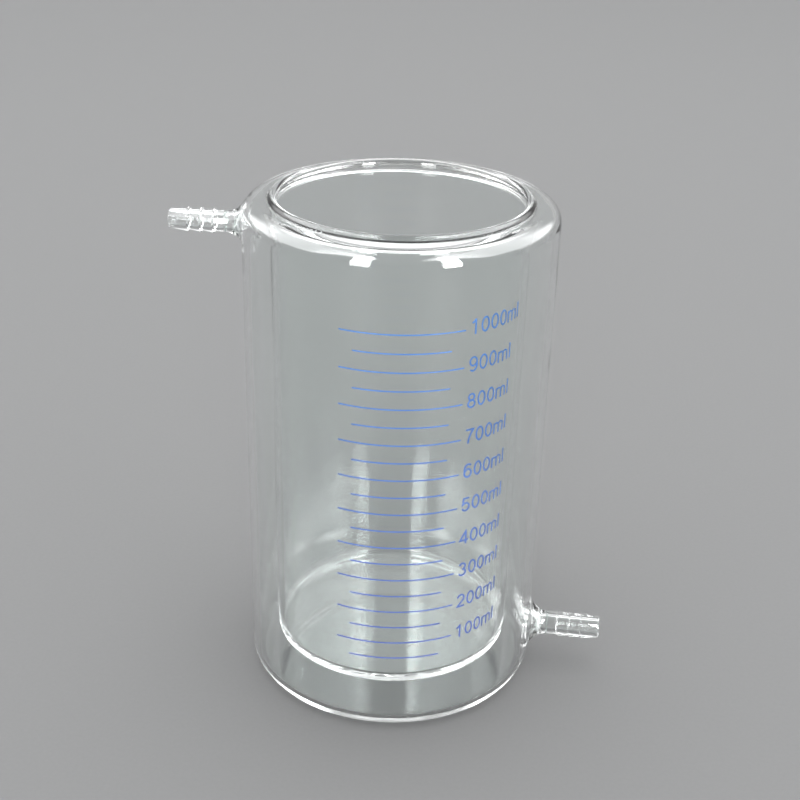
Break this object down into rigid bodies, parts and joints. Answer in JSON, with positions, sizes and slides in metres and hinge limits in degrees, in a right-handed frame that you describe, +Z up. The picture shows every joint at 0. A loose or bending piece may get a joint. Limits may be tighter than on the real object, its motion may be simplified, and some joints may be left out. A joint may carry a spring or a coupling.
{
  "type": "jacketed beaker",
  "caption": "Tall double-walled glass beaker with a sealed rim, a blue volume scale on the inner vessel and two opposite serrated hose nipples on the water jacket.",
  "frame": {"origin": "centre of the underside, on the axis of both walls", "axes": "+Z up along the axis of the vessel, towards its mouth; +X along the lower hose nipple, the upper nipple points along -X; the scale is read from the -Y side"},
  "size_m": [0.1796, 0.12, 0.2034],
  "materials": {
    "glass": "clear fire-polished borosilicate glass",
    "scale_print": "fired blue enamel, thin and slightly glossy"
  },
  "bodies": {
    "root": {"jacket_shell": "glass", "jacket_base": "glass", "vessel_tube": "glass", "vessel_floor": "glass", "rim_ring": "glass", "upper_hose_nipple": "glass", "lower_hose_nipple": "glass", "long_scale_marks": "scale_print", "short_scale_marks": "scale_print"}
  },
  "joints": []
}
